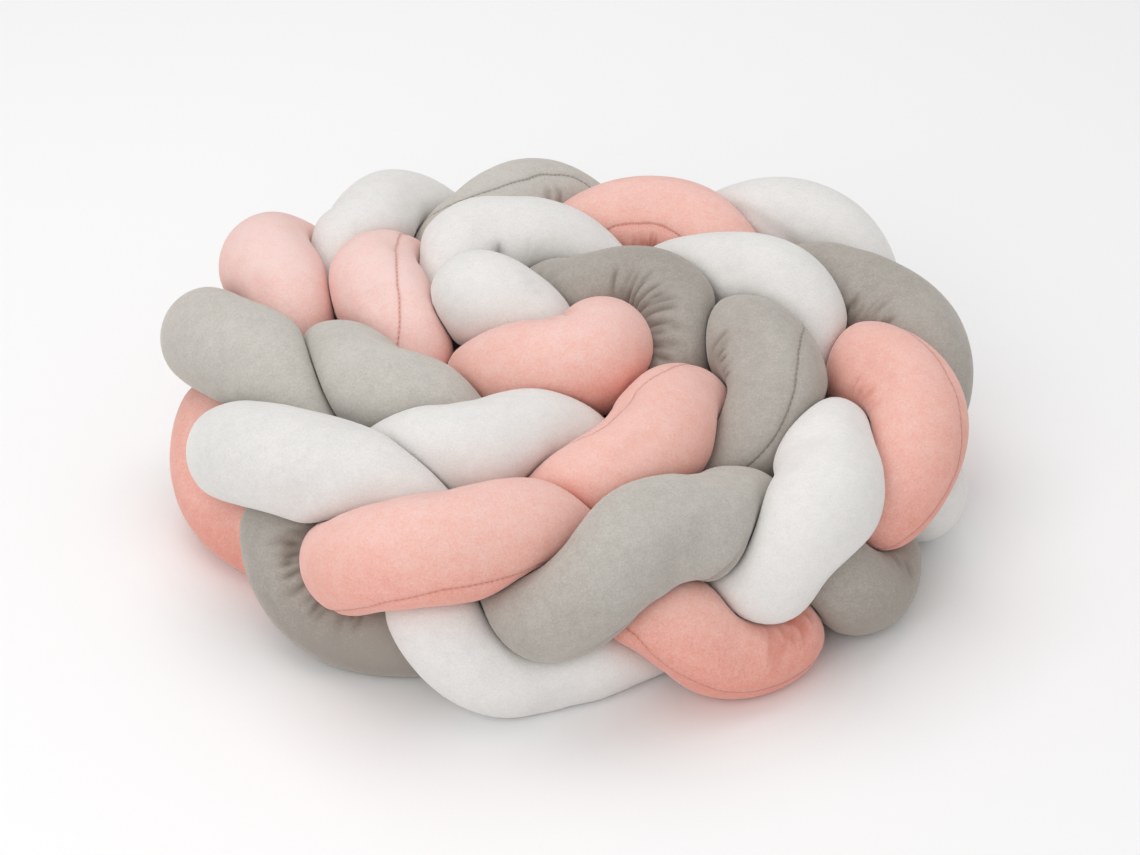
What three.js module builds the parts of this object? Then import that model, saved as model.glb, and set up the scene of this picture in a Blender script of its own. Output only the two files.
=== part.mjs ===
// Braided crib bumper: three stuffed velvet tubes in a three-strand plait.
// The plait stands on its edge and winds outward in a spiral of about two and a half turns.
// Millimetres, +Z up. The origin is the bottom centre of the whole plait.

import * as THREE from "three";

// The stuffed tube
const TUBE_RADIUS = 32.5;
const STEEP_THINNING = 0.25; // share of its thickness that a tube loses where it climbs upright
const TUBE_GAP = 0.9; // between the skins of two tubes that press on each other
const PRESSED_PITCH = 43; // between their centres
const FOOT_CENTRE = 30; // height of a tube's centre where it dips lowest in the plait
const SETTLED_CENTRE = 26.8; // the same once its own weight has flattened it on the surface
const FOOT_INWARD = 17; // how far a tube's foot swings inward

// How the tubes settle against each other
const SETTLING_STEPS = 60;
const PUSH = 0.3; // share of an overlap that is moved apart in a step
const HOLD = 0.06; // share of the way back to the plaited place
const EVENING = 0.2; // share of a move that is evened out along the tube

// How finely a tube is worked out
const PLAIT_SAMPLES = 260;
const PATH_STEP = 16; // between the samples that settle
const CONTACT_STEP = 8; // between the centres that a neighbour's skin is measured from
const OWN_STRETCH = 100; // a tube doesn't press on itself within this length
const NEIGHBOUR_REACH = 120;
const BEND_STRETCH = 12; // its own centres farther along than this keep the inside of a bend open
const BEND_SHARE = 0.9; // share of the way to the middle of a bend that the skin may reach
const TANGENT_REACH = 21; // half the stretch that a ring's direction is averaged over
const RING_STEP = 30; // between the rings, on the outside of a bend
const TUBE_SIDES = 13;
const TIP_ANGLES = [22, 45, 68, 90]; // rings of a rounded tip, in degrees from its pole
const EDGE_SHARPNESS = 16; // a higher number gives a sharper edge round a pressed place
const CLEARING_ROUNDS = 3;

// One row for each hump of the plait from the middle of the spiral outward, counter-clockwise,
// after a first row that curls the inner tips in. The tubes crest in turn: white, pink, grey.
// The columns are the place of the crest's centre, its height, how far the tube swings outward
// before the crest and inward after it, how far the tube's foot is shifted outward, how far
// that foot swings outward, and how far the outward swing is lifted.
const COLUMNS = ["x", "y", "crest", "outward", "inward", "footShift", "footOutward", "lift"];
const HUMPS = [
  [-14, 58, 126, 0, 17, 0, 11, 0],
  [-52, 20, 126, 4, 9, 0, 11, 0],
  [19, -45, 126, 17, 17, 0, 11, 0],
  [46, 33, 118, 17, 22, 0, 11, 0],
  [-57, 91, 117, 0, 13, 0, 11, 0],
  [-110, 41, 110, 17, 17, 0, 11, 0],
  [-112, -64, 109, 17, 17, 0, 11, 0],
  [-43, -121, 109, 17, 17, 0, 11, 0],
  [53, -112, 112, 17, 17, 0, 11, 0],
  [117, -36, 118, 19, 17, 0, 11, 0],
  [116, 39, 123, 7, 17, 0, 11, 0],
  [47, 142, 106, 17, 17, 0, 11, 0],
  [-42, 155, 101, 17, 17, 0, 11, 0],
  [-122, 128, 105, 17, 8, 0, 11, 0],
  [-178, 71, 107, 17, 8, 0, 11, 0],
  [-186, -18, 109, 21, 17, 6, 11, 0],
  [-135, -129, 104, 18, 15, -5, 11, 0],
  [-49, -195, 100, 15, 13, -12, 2, 2],
  [81, -176, 86, -8, 2, -4, -4, 12],
  [147, -133, 95, 12, 9, -2, 5, 3],
  [195, -54, 105, 9, 11, -7, 11, 0],
  [185, 44, 104, 10, 10, -14, 11, 0],
  [140, 137, 108, 11, 17, 0, 11, 0],
  [87, 203, 100, 17, 17, 0, 11, 0],
];

// Each tube crests at every third hump, beginning at firstCrest. Its two rounded tips lie
// at the hump numbers given by from and to.
const TUBES = [
  { name: "white_tube", firstCrest: 1, from: 0.15, to: 23.3, colour: 0xe9e8e4 },
  { name: "pink_tube", firstCrest: 2, from: 0.4, to: 21.95, colour: 0xf1b3a4 },
  { name: "grey_tube", firstCrest: 3, from: 1.05, to: 22.75, colour: 0xb2aca3 },
];
const HUMPS_PER_CREST = TUBES.length;

// Value at fraction t between b and c on the smooth curve through a, b, c and d.
function smoothBetween(a, b, c, d, t) {
  const bend = 2 * a - 5 * b + 4 * c - d;
  const twist = 3 * b - a - 3 * c + d;
  return 0.5 * (2 * b + (c - a) * t + bend * t * t + twist * t * t * t);
}

// A table row, carried on in a straight line past either end of the table.
function humpRow(index) {
  const last = HUMPS.length - 1;
  const near = THREE.MathUtils.clamp(index, 0, last);
  const inner = near === 0 ? 1 : last - 1;
  const beyond = Math.abs(index - near);
  return HUMPS[near].map((value, column) => value + beyond * (value - HUMPS[inner][column]));
}

// The hump columns at any place along the plait.
function humpAt(place) {
  const index = THREE.MathUtils.clamp(Math.floor(place), -1, HUMPS.length - 1);
  const rows = [index - 1, index, index + 1, index + 2].map((i) =>
    humpRow(THREE.MathUtils.clamp(i, -2, HUMPS.length + 1)),
  );
  const values = rows[0].map((_, column) =>
    smoothBetween(...rows.map((row) => row[column]), place - index),
  );
  return Object.fromEntries(COLUMNS.map((name, column) => [name, values[column]]));
}

// Horizontal direction that points out of the spiral.
function outwardAt(place) {
  const aside = 0.01;
  const before = humpAt(place - aside);
  const after = humpAt(place + aside);
  return new THREE.Vector3(after.y - before.y, before.x - after.x, 0).normalize();
}

// Centre of a tube: it rises and dips once for every three humps, and swings across
// the plait twice in the same stretch.
function plaitedPoint(tube, place) {
  const hump = humpAt(place);
  const phase = (2 * Math.PI * (place - tube.firstCrest)) / HUMPS_PER_CREST;
  const rise = (1 + Math.cos(phase)) / 2;
  const swing = -Math.sin(2 * phase);
  const outer = hump.outward * rise + hump.footOutward * (1 - rise);
  const inner = hump.inward * rise + FOOT_INWARD * (1 - rise);
  const across =
    (swing * (outer + inner)) / 2 +
    (swing * swing * (outer - inner)) / 2 +
    hump.footShift * (1 - rise);
  const height = FOOT_CENTRE + (hump.crest - FOOT_CENTRE) * rise + hump.lift * swing * rise;
  return new THREE.Vector3(hump.x, hump.y, height).addScaledVector(outwardAt(place), across);
}

function curveThrough(points) {
  const curve = new THREE.CatmullRomCurve3(points, false, "catmullrom", 0.5);
  curve.arcLengthDivisions = points.length * 8;
  return curve;
}

function spacedPoints(curve, step) {
  return curve.getSpacedPoints(Math.round(curve.getLength() / step));
}

function plaitedPath(tube) {
  const points = [];
  for (let i = 0; i < PLAIT_SAMPLES; i += 1) {
    const place = THREE.MathUtils.lerp(tube.from, tube.to, i / (PLAIT_SAMPLES - 1));
    points.push(plaitedPoint(tube, place));
  }
  return spacedPoints(curveThrough(points), PATH_STEP);
}

// True where two samples may press on each other: on different tubes, or far apart on one tube.
function canPress(a, b) {
  return a.tube !== b.tube || Math.abs(a.along - b.along) >= OWN_STRETCH;
}

// Pushes apart tube centres that lie closer than the pressed pitch, holds each tube near
// its plaited place, evens the move along the tube and keeps it on the surface.
function settle(paths) {
  const samples = paths.flatMap((points, tube) =>
    points.map((start, i) => ({ tube, i, along: i * PATH_STEP, start, at: start.clone() })),
  );
  for (let step = 0; step < SETTLING_STEPS; step += 1) {
    const pushes = samples.map(() => ({ sum: new THREE.Vector3(), count: 0 }));
    for (let i = 0; i < samples.length; i += 1) {
      for (let j = i + 1; j < samples.length; j += 1) {
        const distance = samples[i].at.distanceTo(samples[j].at);
        if (distance < PRESSED_PITCH && canPress(samples[i], samples[j])) {
          const apart = samples[i].at.clone().sub(samples[j].at);
          const strength = (PRESSED_PITCH - distance) / distance;
          pushes[i].sum.addScaledVector(apart, strength);
          pushes[j].sum.addScaledVector(apart, -strength);
          pushes[i].count += 1;
          pushes[j].count += 1;
        }
      }
    }
    samples.forEach((sample, i) => {
      sample.at.addScaledVector(pushes[i].sum, PUSH / Math.sqrt(Math.max(1, pushes[i].count)));
      sample.at.lerp(sample.start, HOLD);
    });
    const moves = samples.map((sample) => sample.at.clone().sub(sample.start));
    samples.forEach((sample, i) => {
      if (sample.i > 0 && sample.i < paths[sample.tube].length - 1) {
        const even = moves[i - 1].clone().add(moves[i + 1]).multiplyScalar(0.5).sub(moves[i]);
        sample.at.addScaledVector(even, EVENING);
      }
      sample.at.z = Math.max(sample.at.z, SETTLED_CENTRE);
    });
  }
  return paths.map((_, tube) => samples.filter((s) => s.tube === tube).map((s) => s.at));
}

// Rounded tip of a tube: places from its end, with the tube's free radius at each.
function tipStations() {
  return TIP_ANGLES.map((degrees) => {
    const angle = THREE.MathUtils.degToRad(degrees);
    return { along: TUBE_RADIUS * (1 - Math.cos(angle)), radius: TUBE_RADIUS * Math.sin(angle) };
  });
}

// Length of the skin on the outside of the bends, up to each of many places along the curve.
function outerLengths(curve, length) {
  const count = Math.round(length / CONTACT_STEP);
  const places = [{ along: 0, outer: 0 }];
  for (let i = 1; i <= count; i += 1) {
    const turn = curve.getTangentAt((i - 1) / count).angleTo(curve.getTangentAt(i / count));
    const outer = places[i - 1].outer + length / count + TUBE_RADIUS * turn;
    places.push({ along: (length * i) / count, outer });
  }
  return places;
}

// Places of the rings along a tube: evenly spaced on the outside of its bends, so they are
// closer together where it turns, and closer again in its rounded tips.
function ringStations(curve, length) {
  const tip = tipStations();
  const first = TUBE_RADIUS;
  const last = length - TUBE_RADIUS;
  const places = outerLengths(curve, length).filter(({ along }) => along > first && along < last);
  const start = places[0].outer;
  const span = places.at(-1).outer - start;
  const count = Math.round(span / RING_STEP);
  const middle = [];
  for (let i = 1; i < count; i += 1) {
    const next = places.findIndex(({ outer }) => outer - start >= (span * i) / count);
    const [a, b] = [places[next - 1], places[next]];
    const part = ((span * i) / count - (a.outer - start)) / (b.outer - a.outer);
    middle.push({ along: THREE.MathUtils.lerp(a.along, b.along, part), radius: TUBE_RADIUS });
  }
  const farTip = tip.map(({ along, radius }) => ({ along: length - along, radius })).reverse();
  return [...tip, ...middle, ...farTip];
}

// Direction of the tube, averaged over its own thickness so that rings don't cross in a bend.
function easedTangent(curve, length, along) {
  const before = curve.getPointAt(Math.max(along - TANGENT_REACH, 0) / length);
  const after = curve.getPointAt(Math.min(along + TANGENT_REACH, length) / length);
  return after.sub(before).normalize();
}

// What stops a ring's skin near one centre: how far the stop is and its direction. A neighbour
// presses halfway between the two centres. The tube's own next centres hold the skin back on the
// inside of a bend.
function stopAt(ring, contact) {
  const offset = contact.at.clone().sub(ring.centre);
  const distance = offset.length();
  if (distance >= NEIGHBOUR_REACH || distance === 0) {
    return null;
  }
  const direction = offset.normalize();
  if (canPress(ring, contact)) {
    return { reach: (distance - TUBE_GAP) / 2, direction };
  }
  const isOnBend = Math.abs(contact.along - ring.along) >= BEND_STRETCH;
  return isOnBend ? { reach: (BEND_SHARE * distance) / 2, direction } : null;
}

// Distance from a ring's centre to the tube's skin in one direction: the tube's radius, or less
// where a stop is in the way, or where the surface is below.
function skinDistance(centre, direction, radius, stops) {
  let pressed = Infinity;
  for (const stop of stops) {
    const facing = direction.dot(stop.direction);
    if (facing > 0) {
      pressed = Math.min(pressed, stop.reach / facing);
    }
  }
  const soft = (radius ** -EDGE_SHARPNESS + pressed ** -EDGE_SHARPNESS) ** (-1 / EDGE_SHARPNESS);
  const lowest = centre.z + soft * direction.z;
  return lowest < 0 ? centre.z / -direction.z : soft;
}

function tubeRing(station, curve, length, contacts, tube) {
  const centre = curve.getPointAt(station.along / length);
  const tangent = easedTangent(curve, length, station.along);
  const side = new THREE.Vector3(tangent.y, -tangent.x, 0).normalize();
  const up = side.clone().cross(tangent).normalize();
  const radius = station.radius * (1 - STEEP_THINNING * tangent.z ** 2);
  const ring = { tube, along: station.along, centre };
  const stops = contacts.map((contact) => stopAt(ring, contact)).filter(Boolean);
  ring.points = [];
  for (let j = 0; j < TUBE_SIDES; j += 1) {
    const angle = ((j + 0.5) / TUBE_SIDES) * 2 * Math.PI - Math.PI / 2;
    const direction = side.clone().multiplyScalar(Math.cos(angle));
    direction.addScaledVector(up, Math.sin(angle));
    const reach = skinDistance(centre, direction, radius, stops);
    ring.points.push(centre.clone().addScaledVector(direction, reach));
  }
  return ring;
}

// How much nearer a point on the ring's tube lies to its own centre than to any neighbour's,
// less the gap. It is negative where the point has crossed the halfway surface.
function clearance(point, ring, contacts) {
  let own = Infinity;
  let other = Infinity;
  for (const contact of contacts) {
    if (canPress(ring, contact)) {
      other = Math.min(other, point.distanceTo(contact.at));
    } else {
      own = Math.min(own, point.distanceTo(contact.at));
    }
  }
  return other - own - TUBE_GAP;
}

// A flat facet cuts across the hollow that a neighbour presses into the skin. The ends of its
// edges are drawn in until the middle of each edge is clear too.
function clearHollows(rings, contacts) {
  for (let round = 0; round < CLEARING_ROUNDS; round += 1) {
    for (let i = 0; i < rings.length - 1; i += 1) {
      for (let j = 0; j < TUBE_SIDES; j += 1) {
        const far = rings[i + 1].points[j];
        for (const near of [rings[i].points[j], rings[i].points[(j + 1) % TUBE_SIDES]]) {
          const middle = near.clone().add(far).multiplyScalar(0.5);
          const excess = -clearance(middle, rings[i], contacts) / 2;
          if (excess > 0) {
            near.addScaledVector(rings[i].centre.clone().sub(near).normalize(), excess);
            far.addScaledVector(rings[i + 1].centre.clone().sub(far).normalize(), excess);
          }
        }
      }
    }
  }
}

// Closed skin over the rings, with one point at each tip.
function skinGeometry(firstTip, rings, lastTip) {
  const points = [firstTip, ...rings.flatMap((ring) => ring.points), lastTip];
  const faces = [];
  const at = (ring, side) => 1 + ring * TUBE_SIDES + (side % TUBE_SIDES);
  for (let side = 0; side < TUBE_SIDES; side += 1) {
    faces.push(0, at(0, side), at(0, side + 1));
    for (let ring = 0; ring < rings.length - 1; ring += 1) {
      faces.push(at(ring, side), at(ring + 1, side), at(ring, side + 1));
      faces.push(at(ring, side + 1), at(ring + 1, side), at(ring + 1, side + 1));
    }
    faces.push(points.length - 1, at(rings.length - 1, side + 1), at(rings.length - 1, side));
  }
  const geometry = new THREE.BufferGeometry();
  geometry.setAttribute(
    "position",
    new THREE.Float32BufferAttribute(points.flatMap((point) => point.toArray()), 3),
  );
  geometry.setIndex(faces);
  geometry.computeVertexNormals();
  return geometry;
}

function tubeGeometry(tube, curve, contacts) {
  const length = curve.getLength();
  const rings = ringStations(curve, length).map((station) =>
    tubeRing(station, curve, length, contacts, tube),
  );
  clearHollows(rings, contacts);
  return skinGeometry(curve.getPointAt(0), rings, curve.getPointAt(1));
}

function buildBumper() {
  const curves = settle(TUBES.map(plaitedPath)).map(curveThrough);
  const contacts = curves.flatMap((curve, tube) =>
    spacedPoints(curve, CONTACT_STEP).map((at, i) => ({ tube, at, along: i * CONTACT_STEP })),
  );
  const bumper = new THREE.Group();
  TUBES.forEach((tube, index) => {
    const material = new THREE.MeshStandardMaterial({
      color: tube.colour,
      roughness: 0.95,
      metalness: 0,
    });
    const mesh = new THREE.Mesh(tubeGeometry(index, curves[index], contacts), material);
    mesh.name = tube.name;
    bumper.add(mesh);
  });
  const box = new THREE.Box3().setFromObject(bumper);
  const centre = box.getCenter(new THREE.Vector3());
  bumper.position.set(-centre.x, -centre.y, -box.min.z);
  return bumper;
}

export default buildBumper();
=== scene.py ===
"""Braided crib bumper: three stuffed velvet tubes in a three-strand plait that stands on its
edge and winds outward in a spiral. Each tube is a skin of rings along the same path as its
solid. Metres, +Z up."""

import math

import bpy
import numpy as np
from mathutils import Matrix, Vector


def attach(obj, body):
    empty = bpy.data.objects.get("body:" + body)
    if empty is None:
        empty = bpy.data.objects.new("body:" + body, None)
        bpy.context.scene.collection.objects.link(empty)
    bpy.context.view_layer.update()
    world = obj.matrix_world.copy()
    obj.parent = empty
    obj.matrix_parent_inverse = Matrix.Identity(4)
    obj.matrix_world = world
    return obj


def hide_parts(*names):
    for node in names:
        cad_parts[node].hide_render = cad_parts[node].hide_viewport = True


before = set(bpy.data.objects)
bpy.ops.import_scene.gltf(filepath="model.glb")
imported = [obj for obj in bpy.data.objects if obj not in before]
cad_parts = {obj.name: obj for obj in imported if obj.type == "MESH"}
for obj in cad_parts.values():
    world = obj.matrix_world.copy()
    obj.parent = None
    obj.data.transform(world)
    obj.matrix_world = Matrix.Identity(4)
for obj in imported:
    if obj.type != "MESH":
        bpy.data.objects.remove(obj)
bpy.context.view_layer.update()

bl_info = {
    "name": "Braided crib bumper",
    "version": (1, 0, 0),
    "blender": (4, 5, 0),
    "location": "3D View > Sidebar > Bumper",
    "description": "Builds a rolled up crib bumper plaited from three stuffed velvet tubes",
    "category": "Add Mesh",
}

MM = 0.001

# The plait, one row for each hump from the middle of the spiral outward, in millimetres: the
# x, y and height of the crest's centre, how far the tube swings outward before the crest and
# inward after it, how far its foot is shifted outward, how far the foot swings outward, and how
# far the outward swing is lifted.
HUMPS = MM * np.array(
    [
        (-14, 58, 126, 0, 17, 0, 11, 0),
        (-52, 20, 126, 4, 9, 0, 11, 0),
        (19, -45, 126, 17, 17, 0, 11, 0),
        (46, 33, 118, 17, 22, 0, 11, 0),
        (-57, 91, 117, 0, 13, 0, 11, 0),
        (-110, 41, 110, 17, 17, 0, 11, 0),
        (-112, -64, 109, 17, 17, 0, 11, 0),
        (-43, -121, 109, 17, 17, 0, 11, 0),
        (53, -112, 112, 17, 17, 0, 11, 0),
        (117, -36, 118, 19, 17, 0, 11, 0),
        (116, 39, 123, 7, 17, 0, 11, 0),
        (47, 142, 106, 17, 17, 0, 11, 0),
        (-42, 155, 101, 17, 17, 0, 11, 0),
        (-122, 128, 105, 17, 8, 0, 11, 0),
        (-178, 71, 107, 17, 8, 0, 11, 0),
        (-186, -18, 109, 21, 17, 6, 11, 0),
        (-135, -129, 104, 18, 15, -5, 11, 0),
        (-49, -195, 100, 15, 13, -12, 2, 2),
        (81, -176, 86, -8, 2, -4, -4, 12),
        (147, -133, 95, 12, 9, -2, 5, 3),
        (195, -54, 105, 9, 11, -7, 11, 0),
        (185, 44, 104, 10, 10, -14, 11, 0),
        (140, 137, 108, 11, 17, 0, 11, 0),
        (87, 203, 100, 17, 17, 0, 11, 0),
    ]
)

# Each tube crests at every third hump. Its rounded tips lie at the two given places on the
# plait. A place counts the humps from the first row of the table, which is 0.
TUBES = {
    "white": {"first_crest": 1, "inner_tip": 0.15, "outer_tip": 23.3},
    "pink": {"first_crest": 2, "inner_tip": 0.4, "outer_tip": 21.95},
    "grey": {"first_crest": 3, "inner_tip": 1.05, "outer_tip": 22.75},
}
HUMPS_PER_CREST = len(TUBES)

# The lengthwise seam of each tube, as its angle round the tube at places on the plait. Angles
# are in degrees from the side that faces out of the spiral, and 90 is the upper side.
SEAMS = {
    "white": ((0, 250), (24, 250)),
    "pink": (
        (0, 250), (3, 250), (3.7, 160), (4.3, 75), (4.5, 66), (4.66, 94), (4.72, 106),
        (4.81, 115), (4.89, 115), (4.97, 110), (5.04, 102), (5.16, 87), (5.28, 80), (5.37, 80),
        (6.2, 110), (7.6, 112), (7.76, 112), (7.9, 124), (8.04, 121), (8.12, 109), (8.2, 97),
        (8.3, 94), (8.45, 102), (8.8, 120), (10.3, 140), (10.74, 146), (10.98, 146),
        (11.14, 141), (12.2, 200), (13, 250), (14, 270), (15.5, 285), (16.4, 300), (16.62, 328),
        (16.7, 342), (16.85, 354), (17, 352), (17.2, 356), (17.6, 362), (17.75, 358),
        (17.83, 343), (17.92, 332), (18.05, 330), (18.19, 336), (18.4, 340), (18.9, 325),
        (19.36, 328), (19.48, 345), (19.6, 364), (19.71, 391), (19.86, 413), (20.03, 420),
        (22, 410),
    ),
    "grey": (
        (1, 300), (3, 300), (6, 250), (7.5, 330), (8.3, 380), (8.45, 391), (8.55, 402),
        (8.65, 416), (8.75, 426), (8.83, 427), (8.9, 420), (8.97, 405), (9.1, 385), (9.4, 380),
        (11.3, 448), (11.58, 456), (11.74, 468), (11.9, 472), (12.06, 463), (12.25, 446),
        (12.4, 436), (13.2, 560), (15, 620), (23, 640),
    ),
}

# Pleats on the inside of bends, which also paint shade in their troughs, as a row for each group:
# the tube, where the first and the last pleat lie (place on the plait and angle), how many, their
# length and depth in millimetres.
PLEATS = (
    ("white", (1.18, 104), (1.30, 84), 3, 10, 0.9),
    ("white", (3.75, 146), (3.67, 152), 2, 11, 1.0),
    ("pink", (1.97, 125), (1.79, 104), 3, 10, 1.4),
    ("pink", (11.12, 172), (10.82, 172), 7, 16, 2.4),
    ("pink", (18.12, 22), (18.40, 46), 7, 24, 2.6),
    ("pink", (20.02, 158), (19.72, 142), 7, 15, 1.8),
    ("grey", (3.10, 132), (2.84, 134), 4, 24, 3.0),
    ("grey", (2.80, 132), (2.50, 88), 8, 24, 3.2),
    ("grey", (3.42, 112), (3.32, 118), 2, 11, 1.4),
    ("grey", (9.06, 146), (8.80, 160), 7, 16, 2.4),
    ("grey", (11.88, 140), (11.70, 140), 4, 17, 2.4),
    ("grey", (15.92, 87), (16.04, 55), 6, 22, 3.4),
    ("grey", (16.07, 46), (16.36, 38), 9, 24, 3.4),
    ("grey", (19.13, 48), (19.26, 20), 4, 13, 1.8),
    ("grey", (20.98, 150), (20.70, 136), 7, 20, 2.6),
)

# Long soft creases, which also paint shade in their troughs: the tube, the crease's angle at
# places on the plait, and its width and depth in millimetres.
CREASES = (
    ("grey", ((17.4, 318), (17.7, 318), (17.87, 323), (17.95, 346), (18.05, 374)), 5, 1.8),
    ("white", ((21.8, 162), (22.0, 150), (22.2, 122)), 5, 1.6),
    ("pink", ((10.65, 186), (10.95, 188), (11.25, 186)), 9, 2.4),
    ("pink", ((14.2, 58), (14.36, 66)), 7, 0.9),
    ("pink", ((7.7, 60), (7.84, 70)), 6, 0.8),
)

# How far the pile's colour is made pale, or dark where negative, on the crest of each hump, as
# pairs of the hump's place and the tone. The tones are painted light, shade and sheen as they
# fall on each hump, along with the pile's own tone.
CREST_TONES_AND_PAINTED_LIGHT = {
    "white": ((1, 0), (4, 0), (7, 0), (10, -0.1), (13, 0), (16, -0.2), (19, 0.3), (22, 0)),
    "pink": ((2, 0.2), (5, 0.7), (8, 0.0), (11, 0), (14, 0.7), (17, 0.1), (20, -0.2)),
    "grey": ((3, -0.8), (6, 0.7), (9, -0.2), (12, 0.7), (15, 0.6), (18, 0.3), (21, -0.5)),
}

# The same at the feet of each tube, as painted shade on the pink and grey tubes and painted light
# on the white one, and how much paler its upper side is than its sides, as painted light from
# above.
FEET_PAINTED_SHADE_AND_LIGHT = {"white": 0.2, "pink": -0.3, "grey": -1.0}
UPPER_SIDE_PAINTED_LIGHT = {"white": 0.1, "pink": 0.7, "grey": 0.3}

# A foot's centre as plaited: its height, and how far the tube swings inward there.
FOOT_CENTRE = 30 * MM
FOOT_INWARD = 17 * MM

# How each centre line is sampled: the number of plaited points, the step between the settled
# ones, and the part of a hump over which the plait's direction is read.
PLAITED_POINTS = 260
PATH_STEP = 16 * MM
DIRECTION_STEP = 0.01

# How the tubes settle: the distance between two centre lines that press on each other, the
# lowest centre, and the stretch of a tube that doesn't press on itself. In each step, close
# points are pushed apart, drawn back to their plaited places and evened out by these shares.
PRESSED_PITCH = 43 * MM
SETTLED_CENTRE = 26.8 * MM
OWN_STRETCH = 100 * MM
SETTLING_STEPS = 60
PUSH = 0.3
HOLD = 0.06
EVENING = 0.2

# The rings of a skin: how far ahead and behind a ring's direction is read, how many rings round
# off a tip, how much thinner the tube is where it climbs straight up, and the smallest share of
# its free radius that a fold leaves.
TANGENT_REACH = 21 * MM
TIP_RINGS = 12
THINNING = 0.25
LEAST_RADIUS = 0.2

# How a skin is limited: the step between the contact points on the centre lines and how many of
# the nearest ones count, the stretch of its own tube that doesn't limit a ring, the share of
# a bend's inside that the rings may fill, and a reach in metres that stands for no limit.
CONTACT_STEP = 4 * MM
NEAREST_CONTACTS = 150
BEND_STRETCH = 12 * MM
BEND_SHARE = 0.92
NO_LIMIT = 9.0

# How sharply a skin turns from round to pressed flat, and the widths over which it is evened
# out along and around the tube.
EDGE_SHARPNESS = 16.0
EVEN_ALONG = 5 * MM
EVEN_AROUND = 4 * MM

# The sunken line of a seam, and the share of half its length over which a crease fades in or out.
SEAM_WIDTH = 2 * MM
SEAM_DEPTH = 0.8 * MM
CREASE_FADE = 0.25

# What chance decides for a pleat: how far it strays, as a share of the space between two, its
# length and depth as shares of its row's, its width in millimetres and its slant either way.
PLEAT_STRAY = 0.3
PLEAT_LENGTHS = (0.65, 1.15)
PLEAT_DEPTHS = (0.5, 1.1)
PLEAT_WIDTHS = (1.0, 1.7)
PLEAT_SLANT = 0.25

# The ridges beside a pleat, as shares of its depth and width, and the closest together that
# the velvet's rings are taken to lie on the inside of a bend.
RIDGE_HEIGHT = 0.45
RIDGE_WIDTH = 2.2
LEAST_CROWDING = 0.35

# The depth at which a crease or a pleat is wholly in shade, and how much of the shaded colour
# a fold, a seam's groove and its stitches take on.
SHADED_CREASE = 6 * MM
SHADED_PLEAT = 3 * MM
FOLD_SHADE = 0.9
SEAM_SHADE = 0.35
STITCH_SHADE = 0.75

# How far a skin's direction points up where the painted light on the upper side leaves the tone
# plain.
PLAIN_SLOPE = 0.6

# The velvet has its full bend slack where its rings are this much closer than on the centre
# line. Weights in a vertex group are rounded to so many levels.
FULL_CROWDING = 0.6
WEIGHT_LEVELS = 16

# Patches of the pile's tone, as the number in a metre, the detail and the strength, from a few
# centimetres wide down to the fuzz. The pile's fuzz, the lumps of the filling and the puckers
# of a seam are counted in a metre too.
PATCHES = ((28, 2, 0.7), (150, 3, 1.1), (700, 2, 1.6), (1500, 1, 1.4))
FUZZ_PER_METRE = 1500
LUMPS_PER_METRE = 60
PUCKERS_PER_METRE = 180

# A seam: the cos t between which it fades out toward the tube's far side, the sine between which
# a stitch starts, and, in half widths of a stitch, the stitch's full middle, the groove and the
# puckers on either side. Puckers are this share of the groove's depth.
SEAM_FADE = (0.2, 0.5)
STITCH_START = (-0.5, 0.2)
STITCH_MIDDLE = 0.4
GROOVE_SPREAD = 3
PUCKER_SPREAD = 8
PUCKER_HEIGHT = 0.5

# What does not differ between the velvets, by the names of the shader's sockets.
PILE_FINISH = {"Roughness": 0.9, "Specular IOR Level": 0.15, "Sheen Roughness": 0.35}

# The studio: half the floor's width and its finish, the even light from all round, and the
# softboxes, each with its name, place and width in metres and power in watts. They aim at the
# middle of the bumper.
FLOOR_HALF = 3.0
FLOOR_FINISH = {
    "Base Color": (0.95, 0.95, 0.95, 1),
    "Roughness": 0.9,
    "Specular IOR Level": 0.1,
}
SURROUNDING_LIGHT = 0.62
SOFTBOXES = (
    ("top_softbox", (-0.3, 0.3, 1.9), 1.6, 13),
    ("front_softbox", (-0.7, -1.8, 1.3), 1.4, 13),
)
SOFTBOX_AIM = Vector((0, 0, 0.05))

# The point that the camera looks at, and the width of its sensor in millimetres.
CAMERA_TARGET = Vector((2.8, -23.4, 64.3)) * MM
SENSOR_WIDTH = 36


# The plait's centre lines


def smooth_between(a, b, c, d, t):
    """Value at fraction t between b and c on the Catmull-Rom curve through a, b, c and d."""
    bend = 2 * a - 5 * b + 4 * c - d
    twist = 3 * b - a - 3 * c + d
    return 0.5 * (2 * b + (c - a) * t + bend * t**2 + twist * t**3)


def hump_rows(index):
    """Rows of the hump table, carried on in a straight line past either end."""
    last = len(HUMPS) - 1
    near = np.clip(index, 0, last)
    inner = np.where(near == 0, 1, last - 1)
    beyond = np.abs(index - near)[:, None]
    return HUMPS[near] + beyond * (HUMPS[near] - HUMPS[inner])


def hump_at(place):
    """The hump columns at places along the plait, on smooth curves through the rows."""
    index = np.clip(np.floor(place), -1, len(HUMPS) - 1).astype(int)
    rows = [hump_rows(np.clip(index + k, -2, len(HUMPS) + 1)) for k in (-1, 0, 1, 2)]
    return smooth_between(*rows, (place - index)[:, None])


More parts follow.
